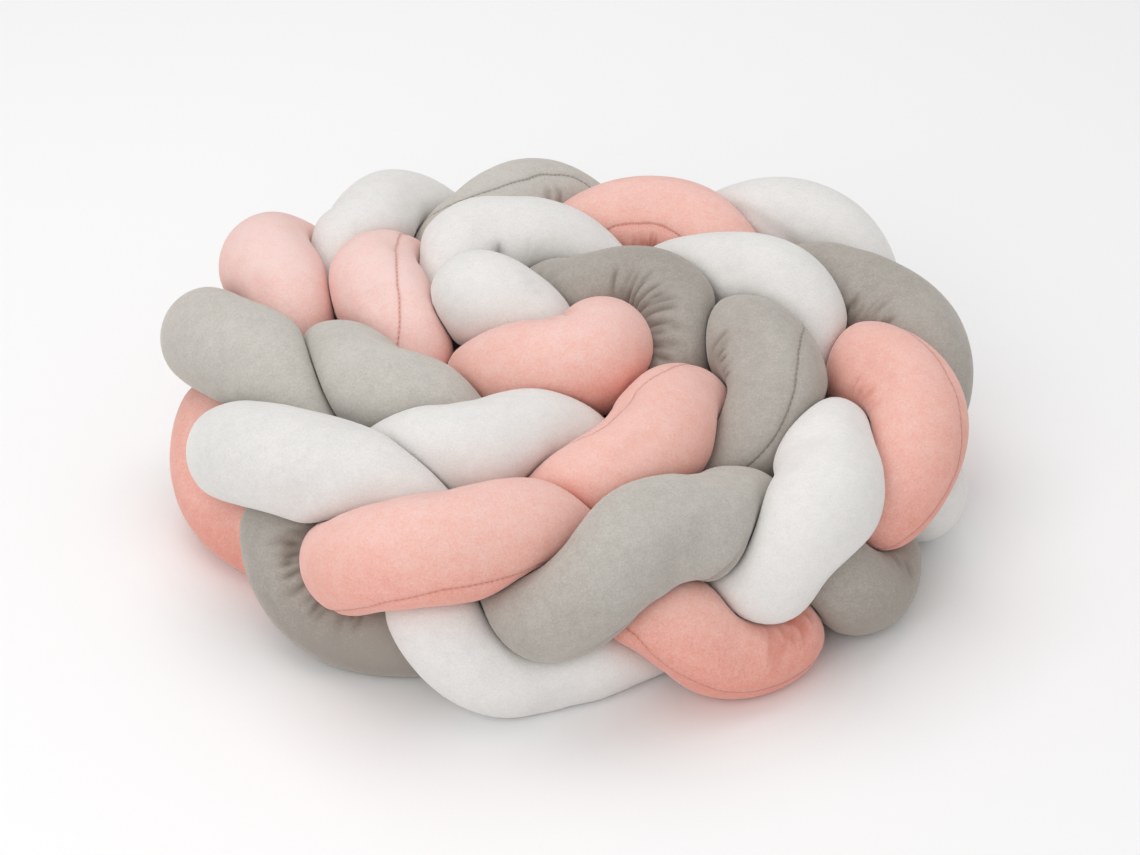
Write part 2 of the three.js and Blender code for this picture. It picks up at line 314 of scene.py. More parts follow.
def plaited_points(tube, place):
    """Centre of a tube: it rises as (1 + cos p) / 2 and swings across the plait as -sin 2p,
    where p turns once for every three humps."""
    x, y, crest, outward, inward, foot_shift, foot_outward, lift = hump_at(place).T
    ahead, behind = hump_at(place + DIRECTION_STEP), hump_at(place - DIRECTION_STEP)
    out = np.column_stack([ahead[:, 1] - behind[:, 1], behind[:, 0] - ahead[:, 0]])
    out /= np.linalg.norm(out, axis=1, keepdims=True)
    phase = 2 * np.pi * (place - tube["first_crest"]) / HUMPS_PER_CREST
    rise = (1 + np.cos(phase)) / 2
    swing = -np.sin(2 * phase)
    outer = outward * rise + foot_outward * (1 - rise)
    inner = inward * rise + FOOT_INWARD * (1 - rise)
    across = swing * (outer + inner) / 2 + swing**2 * (outer - inner) / 2
    across += foot_shift * (1 - rise)
    height = FOOT_CENTRE + (crest - FOOT_CENTRE) * rise + lift * swing * rise
    return np.column_stack([x + across * out[:, 0], y + across * out[:, 1], height])


def smooth_line(points, spans=16):
    """Close rows on the Catmull-Rom curve through the given ones, and how far along they lie.
    A row is a point, followed by any other values that are carried along the curve."""
    ends = [2 * points[0] - points[1]], [2 * points[-1] - points[-2]]
    p = np.concatenate([ends[0], points, ends[1]])
    t = (np.arange(spans) / spans)[None, :, None]
    a, b, c, d = (p[k : len(p) - 3 + k, None, :] for k in range(4))
    curve = smooth_between(a, b, c, d, t).reshape(-1, points.shape[1])
    line = np.concatenate([curve, points[-1:]])
    steps = np.linalg.norm(np.diff(line[:, :3], axis=0), axis=1)
    return line, np.concatenate([[0.0], np.cumsum(steps)])


def points_at(line, along, places):
    """Rows at places along a line."""
    places = np.clip(places, 0, along[-1])
    return np.column_stack([np.interp(places, along, column) for column in line.T])


def spaced(points, step):
    """Points a step apart on the smooth curve through the given ones."""
    line, along = smooth_line(points)
    return points_at(line, along, np.linspace(0, along[-1], round(along[-1] / step) + 1))


def settled_paths():
    """The three centre lines, pushed apart where they lie closer than the pressed pitch, held
    near their plaited places, evened out along each tube and kept on the surface. Each row is
    a point and its place on the plait, counted in humps."""
    paths = []
    for tube in TUBES.values():
        place = np.linspace(tube["inner_tip"], tube["outer_tip"], PLAITED_POINTS)
        paths.append(spaced(np.column_stack([plaited_points(tube, place), place]), PATH_STEP))
    owner = np.repeat(np.arange(len(paths)), [len(p) for p in paths])
    along = np.concatenate([np.arange(len(p)) * PATH_STEP for p in paths])
    place = np.concatenate(paths)[:, 3]
    start = np.concatenate(paths)[:, :3]
    far = np.abs(along[:, None] - along[None, :]) >= OWN_STRETCH
    can_press = (owner[:, None] != owner[None, :]) | far
    inside = np.zeros(len(start), bool)
    inside[1:-1] = (owner[1:-1] == owner[:-2]) & (owner[1:-1] == owner[2:])
    at = start.copy()
    for _ in range(SETTLING_STEPS):
        apart = at[:, None, :] - at[None, :, :]
        distance = np.linalg.norm(apart, axis=2) + np.eye(len(at))
        close = can_press & (distance < PRESSED_PITCH)
        weight = np.where(close, (PRESSED_PITCH - distance) / distance, 0)
        push = (apart * weight[:, :, None]).sum(1)
        at = at + push * PUSH / np.sqrt(np.maximum(1, close.sum(1)))[:, None]
        at += HOLD * (start - at)
        moves = at - start
        even = np.zeros_like(at)
        even[1:-1] = (moves[:-2] + moves[2:]) / 2 - moves[1:-1]
        at[inside] += EVENING * even[inside]
        at[:, 2] = np.maximum(at[:, 2], SETTLED_CENTRE)
    return [np.column_stack([at, place])[owner == k] for k in range(len(paths))]


# The tubes' skins


def evened(values, step, width, wrap):
    """Values evened out along their first axis by a bell curve of the given width, which is
    followed to three times that width on either side."""
    reach = max(1, int(3 * width / step))
    bell = np.exp(-0.5 * (np.arange(-reach, reach + 1) * step / width) ** 2)
    bell /= bell.sum()
    padded = np.pad(values, ((reach, reach), (0, 0)), mode="wrap" if wrap else "edge")
    return sum(w * padded[k : k + len(values)] for k, w in enumerate(bell))


def ring_places(length, radius, step):
    """Places of the rings along a tube, with its free radius at each: a tip's rings lie at
    R (1 - cos a) and have the radius R sin a, and the others lie a step apart."""
    angle = np.linspace(0, np.pi / 2, TIP_RINGS + 1)[1:]
    tip = radius * (1 - np.cos(angle))
    size = radius * np.sin(angle)
    count = round((length - 2 * radius) / step)
    middle = np.linspace(radius, length - radius, count + 1)[1:-1]
    places = np.concatenate([tip, middle, (length - tip)[::-1]])
    return places, np.concatenate([size, np.full(len(middle), radius), size[::-1]])


class Skin:
    """Rings along one settled tube. Its point (i, j) lies at reach[i, j] from centre[i] in
    direction[i, j], which is cos t side[i] + sin t up[i] for the angle t of side j. The sizes
    give the tube's radius and gap, and the grid gives the rings' step and number of sides."""

    def __init__(self, owner, paths, sizes, grid):
        line, along = smooth_line(paths[owner])
        self.radius = sizes.tube_radius
        self.step = grid.ring_step
        self.places, self.free = ring_places(along[-1], self.radius, self.step)
        rows = points_at(line, along, self.places)
        self.centre, self.hump = rows[:, :3], rows[:, 3]
        ahead = points_at(line, along, self.places + TANGENT_REACH)
        behind = points_at(line, along, self.places - TANGENT_REACH)
        tangent = (ahead - behind)[:, :3]
        tangent = tangent / np.linalg.norm(tangent, axis=1, keepdims=True)
        side = np.column_stack([tangent[:, 1], -tangent[:, 0], 0 * self.places])
        side = side / np.linalg.norm(side, axis=1, keepdims=True)
        up = np.cross(side, tangent)
        self.angle = np.arange(grid.sides) / grid.sides * 2 * np.pi - np.pi / 2
        self.direction = (
            np.cos(self.angle)[None, :, None] * side[:, None, :]
            + np.sin(self.angle)[None, :, None] * up[:, None, :]
        )
        self.free *= 1 - THINNING * tangent[:, 2] ** 2
        self.tips = line[[0, -1], :3]
        self.limit = self.hard_limit(owner, paths, sizes.tube_gap)
        self.reach = self.soft_reach()
        # How deep each point lies in painted shade from its folds.
        self.folded = np.zeros(self.reach.shape)

    def hard_limit(self, owner, paths, gap):
        """Farthest that the skin may reach: halfway to each neighbour's centre less half the
        gap, and short of the place where the rings of a bend would cross."""
        contacts = [spaced(path[:, :3], CONTACT_STEP) for path in paths]
        at = np.concatenate(contacts)
        whose = np.repeat(np.arange(len(paths)), [len(c) for c in contacts])
        where = np.concatenate([np.arange(len(c)) * CONTACT_STEP for c in contacts])
        offset = at[None, :, :] - self.centre[:, None, :]
        distance = np.linalg.norm(offset, axis=2)
        along = np.abs(where[None, :] - self.places[:, None])
        own = (whose == owner)[None, :] & (along < OWN_STRETCH)
        distance[own & (along < BEND_STRETCH)] = NO_LIMIT
        near = np.argsort(distance, axis=1, kind="stable")[:, :NEAREST_CONTACTS]
        d = np.take_along_axis(distance, near, 1)
        offset = np.take_along_axis(offset, near[:, :, None], 1) / d[:, :, None]
        own = np.take_along_axis(own, near, 1)
        half = np.where(own, BEND_SHARE * d / 2, (d - gap) / 2)
        facing = np.einsum("ijk,ink->ijn", self.direction, offset)
        limit = half[:, None, :] / np.maximum(facing, 1e-3)
        return np.where(facing > 1e-3, limit, NO_LIMIT).min(2)

    def soft_reach(self):
        """The free radius rounded into the limit, (R^-n + limit^-n)^(-1/n), then evened
        out, kept inside the limit and cut flat on the surface."""
        free = self.free[:, None]
        soft = (free**-EDGE_SHARPNESS + self.limit**-EDGE_SHARPNESS) ** (-1 / EDGE_SHARPNESS)
        scale = free / self.radius
        even = evened(soft / scale, self.step, EVEN_ALONG, False)
        around = 2 * np.pi * self.radius / len(self.angle)
        even = evened(even.T, around, EVEN_AROUND, True).T * scale
        height = self.centre[:, 2:]
        down = -self.direction[:, :, 2]
        self.floor = np.where(down > 1e-6, height / np.maximum(down, 1e-6), NO_LIMIT)
        return np.minimum(np.minimum(even, self.limit), self.floor)

    def around(self, line):
        """Distance round the tube from each point to a line given by its angles at places."""
        place, angle = np.array(line).T
        turn = self.angle[None, :] - np.radians(np.interp(self.hump, place, angle))[:, None]
        turn = (turn + np.pi) % (2 * np.pi) - np.pi
        return turn * self.free[:, None]

    def seam_lines(self, line):
        """For each point, how far along the tube it lies, its distance d = R sin t from the
        seam, and cos t, which is negative on the far side of the tube."""
        turn = self.around(line) / self.free[:, None]
        along = np.broadcast_to(self.places[:, None], turn.shape)
        lines = np.stack([along, self.free.max() * np.sin(turn), np.cos(turn)], -1)
        return self.with_tips(lines)

    def brushed(self, tones, foot, upper):
        """Tone of the pile: that of each hump on its crest, fading to that of the feet, and
        paler by the given amount on upper sides. These tones are painted light and shade, with
        painted sheen on some crests, along with the pile's own tone."""
        place, tone = np.array(tones).T
        rise = (1 + np.cos(2 * np.pi * (self.hump - place[0]) / HUMPS_PER_CREST)) / 2
        tone = np.interp(self.hump, place, tone) * rise**2 + foot * (1 - rise) ** 2
        tone = tone[:, None] + upper * (self.direction[:, :, 2] - PLAIN_SLOPE)
        return self.with_tips(tone[:, :, None])

    def with_tips(self, values):
        """Values of all points as rows, with those of the nearest ring at the two tips."""
        rows = values.reshape(-1, values.shape[-1])
        return np.concatenate([rows[:1], rows, rows[-1:]])

    def crowding(self):
        """How closely the rings lie together at each point, against their step on the centre
        line: under 1 on the inside of a bend, and over 1 on the outside."""
        rings = self.centre[:, None, :] + self.reach[:, :, None] * self.direction
        apart = np.linalg.norm(np.gradient(rings, axis=0), axis=2)
        return apart / np.gradient(self.places)[:, None]

    def fill_out(self, coarse, offset):
        """Move the skin out by an offset that is known on the rings of a coarser skin."""
        round_it = np.append(coarse.angle, coarse.angle[0] + 2 * np.pi)
        offset = np.column_stack([offset, offset[:, 0]])
        offset = np.stack([np.interp(self.angle, round_it, row) for row in offset])
        offset = np.stack([np.interp(self.places, coarse.places, row) for row in offset.T], 1)
        self.move(offset)

    def crease(self, line, width, depth):
        """Sink a soft trough along a line, depth exp(-(d / width)^2) at the distance d, which
        fades in and out at the line's ends as 3 f^2 - 2 f^3."""
        first, last = line[0][0], line[-1][0]
        middle, half = (first + last) / 2, (last - first) / 2
        past = 1 + CREASE_FADE - np.abs(self.hump - middle) / half
        fade = np.clip(past / (2 * CREASE_FADE), 0, 1)
        trough = np.exp(-((self.around(line) / width) ** 2))
        trough *= (fade**2 * (3 - 2 * fade))[:, None]
        self.move(-depth * trough)
        # Painted shade in the trough.
        self.folded = np.maximum(self.folded, trough * depth / SHADED_CREASE)

    def pleat(self, first, last, count, length, depth, chance):
        """Sink a group of pleats that run round the tube, each with its own place, length,
        depth, width and slant, from the first place and angle to the last. A pleat is a trough
        exp(-(d / width)^2) between two low ridges, and fades at its ends as exp(-e^4), where e
        is the distance round the tube in half lengths."""
        crowding = np.clip(self.crowding(), LEAST_CROWDING, 1)
        for share in (np.arange(count) + 0.5) / count:
            share += chance.uniform(-PLEAT_STRAY, PLEAT_STRAY) / count
            place = first[0] + share * (last[0] - first[0])
            angle = np.radians(first[1] + share * (last[1] - first[1]))
            own_length = length * chance.uniform(*PLEAT_LENGTHS) / 2
            own_depth = depth * chance.uniform(*PLEAT_DEPTHS)
            width = chance.uniform(*PLEAT_WIDTHS) * MM
            slant = chance.uniform(-PLEAT_SLANT, PLEAT_SLANT)
            turn = (self.angle - angle + np.pi) % (2 * np.pi) - np.pi
            around = turn[None, :] * self.free[:, None]
            where = np.interp(place, self.hump, self.places)
            along = (self.places[:, None] - where) * crowding - slant * around
            ends = np.exp(-((around / own_length) ** 4))
            trough = np.exp(-((along / width) ** 2))
            ridge = RIDGE_HEIGHT * np.exp(-((along / (RIDGE_WIDTH * width)) ** 2))
            self.move(-own_depth * ends * (trough - ridge))
            # Painted shade in the pleat's trough.
            self.folded = np.maximum(self.folded, ends * trough * own_depth / SHADED_PLEAT)

    def move(self, offset):
        """Move the skin out or in, but keep it inside its limit and above the surface."""
        self.reach = np.minimum(self.reach + offset, self.limit)
        self.reach = np.clip(self.reach, LEAST_RADIUS * self.free[:, None], self.floor)

    def points(self):
        """The first tip, the points of the rings in order, and the last tip."""
        rings = self.centre[:, None, :] + self.reach[:, :, None] * self.direction
        return np.concatenate([self.tips[:1], rings.reshape(-1, 3), self.tips[1:]])

    def faces(self):
        """Four-sided faces between neighbouring rings, and a fan of triangles at each tip."""
        rings, sides = self.reach.shape
        number = 1 + np.arange(rings * sides).reshape(rings, sides)
        beside = np.roll(number, -1, axis=1)
        skin = np.stack([number[:-1], number[1:], beside[1:], beside[:-1]], -1).reshape(-1, 4)
        first, last = number[0], number[-1]
        start = np.column_stack([0 * first, first, beside[0]])
        end = np.column_stack([0 * last + rings * sides + 1, beside[-1], last])
        return skin, np.concatenate([start, end])


# Meshes and the filling of the velvet


def make_mesh(name, points, quads, triangles):
    """A smooth-shaded mesh object from points, four-sided faces and triangles."""
    mesh = bpy.data.meshes.new(name)
    mesh.vertices.add(len(points))
    mesh.vertices.foreach_set("co", points.astype(np.float32).ravel())
    corners = np.concatenate([quads.ravel(), triangles.ravel()]).astype(np.int32)
    sizes = np.concatenate([np.full(len(quads), 4), np.full(len(triangles), 3)])
    starts = np.concatenate([[0], np.cumsum(sizes)[:-1]]).astype(np.int32)
    mesh.loops.add(len(corners))
    mesh.loops.foreach_set("vertex_index", corners)
    mesh.polygons.add(len(sizes))
    mesh.polygons.foreach_set("loop_start", starts)
    mesh.polygons.foreach_set("use_smooth", np.ones(len(sizes), bool))
    mesh.update(calc_edges=True)
    mesh.validate()
    piece = bpy.data.objects.new(name, mesh)
    bpy.context.scene.collection.objects.link(piece)
    return piece


def point_attribute(piece, name, rows):
    """A point attribute with one number, or a vector of three, in each row."""
    kind, key = ("FLOAT", "value") if rows.shape[1] == 1 else ("FLOAT_VECTOR", "vector")
    attribute = piece.data.attributes.new(name, kind, "POINT")
    attribute.data.foreach_set(key, rows.astype(np.float32).ravel())


def vertex_group(piece, name, weight):
    """A vertex group with the given weights, rounded to a few levels."""
    group = piece.vertex_groups.new(name=name)
    level = np.round(np.clip(weight, 0, 1) * WEIGHT_LEVELS).astype(int)
    for step in range(1, WEIGHT_LEVELS + 1):
        group.add(np.nonzero(level == step)[0].tolist(), step / WEIGHT_LEVELS, "REPLACE")
    return group.name


def filled_offset(context, skin, filling):
    """How far the filling pushes the velvet out at each point of a skin. The velvet is cloth
    that is held where neighbours or the surface press on it. It is larger than the skin, most of
    all on the inside of bends, where it was sewn as long as on the outside."""
    start = skin.points()
    piece = make_mesh("velvet_trial", start, *skin.faces())
    room = np.minimum(skin.limit, skin.floor) - skin.reach
    held = (room < filling.held_room).ravel()
    crowded = np.clip((1 - skin.crowding()) / FULL_CROWDING, 0, 1).ravel()
    cloth = piece.modifiers.new("cloth", "CLOTH")
    settings = cloth.settings
    settings.vertex_group_mass = vertex_group(piece, "held", np.pad(held, 1, constant_values=1))
    settings.vertex_group_shrink = vertex_group(piece, "crowded", np.pad(crowded, 1))
    settings.shrink_min = -filling.slack
    settings.shrink_max = -filling.bend_slack
    settings.use_pressure = True
    settings.uniform_pressure_force = filling.pressure
    settings.effector_weights.gravity = 0
    settings.mass = filling.mass
    settings.tension_stiffness = filling.stiffness
    settings.compression_stiffness = filling.stiffness
    settings.bending_stiffness = filling.bending
    cloth.collision_settings.use_collision = False
    cloth.point_cache.frame_start = 1
    cloth.point_cache.frame_end = filling.frames
    for number in range(1, filling.frames + 1):
        context.scene.frame_set(number)
    filled = piece.evaluated_get(context.evaluated_depsgraph_get()).data
    end = np.empty(3 * len(filled.vertices), np.float32)
    filled.vertices.foreach_get("co", end)
    context.scene.frame_set(1)
    mesh = piece.data
    bpy.data.objects.remove(piece)
    bpy.data.meshes.remove(mesh)
    moved = (end.reshape(-1, 3) - start)[1:-1].reshape(skin.direction.shape)
    offset = np.einsum("ijk,ijk->ij", moved, skin.direction)
    offset = np.clip(offset, -filling.most_move, filling.most_move)
    around = 2 * np.pi * skin.free.max() / len(skin.angle)
    offset = evened(offset, skin.step, filling.evening, False)
    return evened(offset.T, around, filling.evening, True).T


# Materials


class Wiring:
    """Adds nodes to a node tree and links them up."""

    def __init__(self, tree):
        self.tree = tree

    def feed(self, socket, value):
        """Link an output to a socket, or set the socket's own value."""
        if isinstance(value, bpy.types.NodeSocket):
            self.tree.links.new(value, socket)
        elif value is not None:
            socket.default_value = value

    def node(self, kind, *values, **settings):
        """A new node with its first inputs fed in order and its settings set by name."""
        node = self.tree.nodes.new(kind)
        for key, value in settings.items():
            setattr(node, key, value)
        for socket, value in zip(node.inputs, values):
            self.feed(socket, value)
        return node

    def math(self, operation, *values):
        return self.node("ShaderNodeMath", *values, operation=operation).outputs[0]

    def noise(self, vector, scale, detail, roughness=0.5):
        node = self.node("ShaderNodeTexNoise", vector, None, scale, detail, roughness)
        return node.outputs["Fac"]

    def ramp(self, value, low, high, start, end):
        """The value's range from low to high, eased onto the range from start to end."""
        node = self.node(
            "ShaderNodeMapRange", value, low, high, start, end, interpolation_type="SMOOTHSTEP"
        )
        return node.outputs["Result"]

    def mix(self, share, first, second):
        node = self.node("ShaderNodeMix", data_type="RGBA")
        for socket, value in zip([node.inputs[k] for k in (0, 6, 7)], (share, first, second)):
            self.feed(socket, value)
        return node.outputs[2]

    def group(self, tree, **values):
        """A copy of a node group, with its inputs fed by name."""
        node = self.node("ShaderNodeGroup", node_tree=tree)
        for name, value in values.items():
            self.feed(node.inputs[name], value)
        return node.outputs


def node_group(name, inputs, outputs):
    """An empty shader node group with named sockets. Returns it with its wiring, its inputs by
    name and the node that takes its outputs."""
    tree = bpy.data.node_groups.new(name, "ShaderNodeTree")
    for sockets, in_out in ((inputs, "INPUT"), (outputs, "OUTPUT")):
        for key, kind in sockets.items():
            tree.interface.new_socket(name=key, in_out=in_out, socket_type="NodeSocket" + kind)
    start = tree.nodes.new("NodeGroupInput").outputs
    end = tree.nodes.new("NodeGroupOutput").inputs
    return tree, Wiring(tree), start, end


def pile_colour_group():
    """Colour of the velvet from a tone that holds painted light and shade along with the pile's
    own tone: pale where the tone is high and deep where it is low, varied in soft patches a few
    centimetres wide and a fine fuzz."""
    inputs = {"deep": "Color", "plain": "Color", "pale": "Color", "brushed": "Float"}
    tree, wiring, start, end = node_group(
        "pile_colour", {**inputs, "point": "Vector", "patchy": "Float"}, {"colour": "Color"}
    )
    tone = start["brushed"]
    for per_metre, detail, strength in PATCHES:
        part = wiring.noise(start["point"], per_metre, detail, roughness=0.6)
        part = wiring.math("MULTIPLY", wiring.math("SUBTRACT", part, 0.5), strength)
        tone = wiring.math("MULTIPLY_ADD", part, start["patchy"], tone)
    colour = wiring.mix(tone, start["plain"], start["pale"])
    colour = wiring.mix(wiring.math("MULTIPLY", tone, -1), colour, start["deep"])
    wiring.feed(end["colour"], colour)
    return tree


def pile_relief_group():
    """Height of the pile in metres: fine fuzz, and the slight lumps of the filling below it."""
    tree, wiring, start, end = node_group(
        "pile_relief", {"point": "Vector", "fuzz": "Float", "lumps": "Float"}, {"height": "Float"}
    )
    fuzz = wiring.noise(start["point"], FUZZ_PER_METRE, detail=3, roughness=0.7)
    lumps = wiring.noise(start["point"], LUMPS_PER_METRE, detail=2)
    height = wiring.math("MULTIPLY", fuzz, start["fuzz"])
    height = wiring.math("MULTIPLY_ADD", lumps, start["lumps"], height)
    wiring.feed(end["height"], height)
    return tree


def seam_group():
    """A sewn seam from the point's lines (along, d, cos t): a mask of its stitches, which are
    about as long as the gaps between them, the height of the groove and its puckers, and
    the groove's shade. All three fade out toward the far side of the tube."""
    inputs = {"lines": "Vector", "stitch": "Float", "thread": "Float", "groove": "Float"}
    tree, wiring, start, end = node_group(
        "seam", inputs, {"thread": "Float", "height": "Float", "shade": "Float"}
    )
    along, off, near = wiring.node("ShaderNodeSeparateXYZ", start["lines"]).outputs
    near = wiring.ramp(near, *SEAM_FADE, 0, 1)
    off = wiring.math("ABSOLUTE", off)
    turns = wiring.math("DIVIDE", along, start["stitch"])
    wave = wiring.math("SINE", wiring.math("MULTIPLY", turns, 2 * math.pi))
    middle, groove, puckers = (
        wiring.math("MULTIPLY", start["thread"], share)
        for share in (STITCH_MIDDLE, GROOVE_SPREAD, PUCKER_SPREAD)
    )
    line = wiring.ramp(off, middle, start["thread"], 1, 0)
    thread = wiring.math("MULTIPLY", line, wiring.ramp(wave, *STITCH_START, 0, 1))
    trough = wiring.ramp(off, 0, groove, 1, 0)
    beside = wiring.ramp(off, 0, puckers, 1, 0)
    uneven = wiring.noise(start["lines"], PUCKERS_PER_METRE, detail=1)
    pucker = wiring.math("MULTIPLY", wiring.math("MULTIPLY", wave, beside), uneven)
    height = wiring.math("SUBTRACT", wiring.math("MULTIPLY", pucker, PUCKER_HEIGHT), trough)
    height = wiring.math("MULTIPLY", wiring.math("MULTIPLY", height, start["groove"]), near)
    wiring.feed(end["thread"], wiring.math("MULTIPLY", thread, near))
    wiring.feed(end["height"], height)
    wiring.feed(end["shade"], wiring.math("MULTIPLY", trough, near))
    return tree


def velvet_material(name, groups, velvet):
    """Velvet with its pile and one sewn seam. The pile's sheen is the shader's own, and the base
    colour also takes painted light, shade and sheen from the tone attribute and painted shade in
    folds and the seam's groove.
    """
    material = bpy.data.materials.new(name + "_velvet")
    material.use_nodes = True
    wiring = Wiring(material.node_tree)
    shader = material.node_tree.nodes["Principled BSDF"].inputs
    point = wiring.node("ShaderNodeTexCoord").outputs["Object"]
    lines = wiring.node("ShaderNodeAttribute", attribute_name="seam_lines").outputs["Vector"]
    # The tone attribute is painted light, shade and sheen along with the pile's own tone, and the
    # fold attribute is painted shade.
    brushed = wiring.node("ShaderNodeAttribute", attribute_name="brushed").outputs["Fac"]
    folded = wiring.node("ShaderNodeAttribute", attribute_name="folded").outputs["Fac"]
    deep, plain, pale = ((*colour, 1) for colour in (velvet.deep, velvet.plain, velvet.pale))
    colour = wiring.group(
        groups["pile_colour"],
        deep=deep,
        plain=plain,
        pale=pale,
        brushed=brushed,
        point=point,
        patchy=velvet.patchy,
    )["colour"]
    seam = wiring.group(
        groups["seam"],
        lines=lines,
        stitch=velvet.stitch,
        thread=velvet.thread,
        groove=velvet.groove,
    )
    # Painted shade in folds and in the seam's groove.
    shaded = wiring.math("MULTIPLY", folded, FOLD_SHADE)
    shaded = wiring.math("MULTIPLY_ADD", seam["shade"], SEAM_SHADE, shaded)
    colour = wiring.mix(shaded, colour, (*velvet.shaded, 1))
    stitched = wiring.math("MULTIPLY", seam["thread"], STITCH_SHADE)
    colour = wiring.mix(stitched, colour, (*velvet.sewn, 1))
    relief = wiring.group(
        groups["pile_relief"],
        point=point,
        fuzz=velvet.fuzz,
        lumps=velvet.lumps,
    )["height"]
    bump = wiring.node("ShaderNodeBump")
    bump.inputs["Distance"].default_value = 1
    wiring.feed(bump.inputs["Height"], wiring.math("ADD", relief, seam["height"]))
    wiring.feed(shader["Base Color"], colour)
    wiring.feed(shader["Normal"], bump.outputs["Normal"])
    finish = {**PILE_FINISH, "Sheen Weight": velvet.sheen, "Sheen Tint": pale}
    for socket, value in finish.items():
        shader[socket].default_value = value
    return material


# Settings


class BumperSizes(bpy.types.PropertyGroup):
    """Size of the tubes, and how finely their skins are made"""

    tube_radius: bpy.props.FloatProperty(
        name="Tube radius",
        description="Radius of a stuffed tube where nothing presses on it",
        default=32.5 * MM,
        unit="LENGTH",
    )
    tube_gap: bpy.props.FloatProperty(
        name="Gap",
        description="Room between the skins of two tubes that press on each other",
        default=0.7 * MM,
        unit="LENGTH",
    )
    ring_step: bpy.props.FloatProperty(
        name="Ring step",
        description="Distance between the rings of a tube's skin",
        default=2.5 * MM,
        unit="LENGTH",
    )
    sides: bpy.props.IntProperty(
        name="Sides",
        description="Number of points around a tube's skin",
        default=82,
    )


class Filling(bpy.types.PropertyGroup):
    """How the velvet is filled as cloth"""

    ring_step: bpy.props.FloatProperty(
        name="Cloth step",
        description="Distance between the points of the velvet while it is filled",
        default=5 * MM,
        unit="LENGTH",
    )
    sides: bpy.props.IntProperty(
        name="Cloth sides",
        description="Number of points round a tube while it is filled",
        default=40,
    )
    pressure: bpy.props.FloatProperty(
        name="Pressure",
        description="How hard the filling presses on the velvet",
        default=4,
    )
    stiffness: bpy.props.FloatProperty(
        name="Stiffness",
        description="How hard the velvet resists a stretch",
        default=15,
    )
    bending: bpy.props.FloatProperty(
        name="Bending",
        description="How hard the velvet resists a fold",
        default=0.3,
    )
    mass: bpy.props.FloatProperty(
        name="Point mass",
        description="Mass of one point of the velvet while it is filled",
        default=0.01,
        unit="MASS",
    )
    slack: bpy.props.FloatProperty(
        name="Slack",
        description="How much larger the velvet is than the skin that it starts from",
        default=0.01,
    )
    bend_slack: bpy.props.FloatProperty(
        name="Bend slack",
        description="The same on the inside of the tightest bends",
        default=0.12,
    )
    held_room: bpy.props.FloatProperty(
        name="Held room",
        description="The velvet is held where it has less room than this",
        default=1.5 * MM,
        unit="LENGTH",
    )
    most_move: bpy.props.FloatProperty(
        name="Most move",
        description="Farthest that the filling moves the velvet",
        default=6 * MM,
        unit="LENGTH",
    )
    frames: bpy.props.IntProperty(
        name="Frames",
        description="Number of steps for which the filling presses",
        default=12,
    )
    evening: bpy.props.FloatProperty(
        name="Evening",
        description="Width over which the move is evened out",
        default=4 * MM,
        unit="LENGTH",
    )


def colour_setting(name, description, default):
    """A colour that a user may change."""
    return bpy.props.FloatVectorProperty(
        name=name, description=description, default=default, subtype="COLOR", size=3
    )


class Velvet(bpy.types.PropertyGroup):
    """Look of one tube's velvet and seam"""

    # Deep and pale are the two ends of the pile's tone, which holds painted light and shade;
    # shaded is the painted shade in folds and in the seam's groove.
    deep: colour_setting("Deep", "Colour of the pile where it is brushed down", (0.3, 0.3, 0.3))
    plain: colour_setting("Plain", "Colour of the pile where it stands plainly", (0.5, 0.5, 0.5))
    pale: colour_setting("Pale", "Colour of the pile where it is brushed up", (0.7, 0.7, 0.7))
    shaded: colour_setting("Shaded", "Colour of the pile deep in a fold", (0.2, 0.2, 0.2))
    sewn: colour_setting("Thread colour", "Colour of the seam's stitches", (0.3, 0.3, 0.3))
    patchy: bpy.props.FloatProperty(
        name="Patchy",
        description="How much the pile's tone varies over short distances",
        default=0.8,
    )
    sheen: bpy.props.FloatProperty(
        name="Sheen",
        description="How pale the pile looks against its edge",
        default=0.9,
    )
    stitch: bpy.props.FloatProperty(
        name="Stitch",
        description="Length of one stitch with its gap",
        default=2.6 * MM,
        unit="LENGTH",
    )
    thread: bpy.props.FloatProperty(
        name="Thread",
        description="Half the width of a stitch",
        default=0.48 * MM,
        unit="LENGTH",
    )
    groove: bpy.props.FloatProperty(
        name="Groove",
        description="Depth of the seam's groove in the pile",
        default=0.5 * MM,
        unit="LENGTH",
    )
    fuzz: bpy.props.FloatProperty(
        name="Fuzz",
        description="Height of the pile's fine fuzz",
        default=0.25 * MM,
        unit="LENGTH",
    )
    lumps: bpy.props.FloatProperty(
        name="Lumps",
        description="Height of the lumps of filling that show through",
        default=0.8 * MM,
        unit="LENGTH",
    )


class StudioSettings(bpy.types.PropertyGroup):
    """Place of the camera"""

    elevation: bpy.props.FloatProperty(
        name="Camera elevation",
        description="Angle of the camera above the horizon",
        default=math.radians(34),
        subtype="ANGLE",
    )
    distance: bpy.props.FloatProperty(
        name="Camera distance",
        description="Distance from the camera to the middle of the picture",
        default=1.714,
        unit="LENGTH",
    )
    lens: bpy.props.FloatProperty(
        name="Lens",
        description="Focal length of the camera",
        default=89.7,
        unit="CAMERA",
    )


# Operators


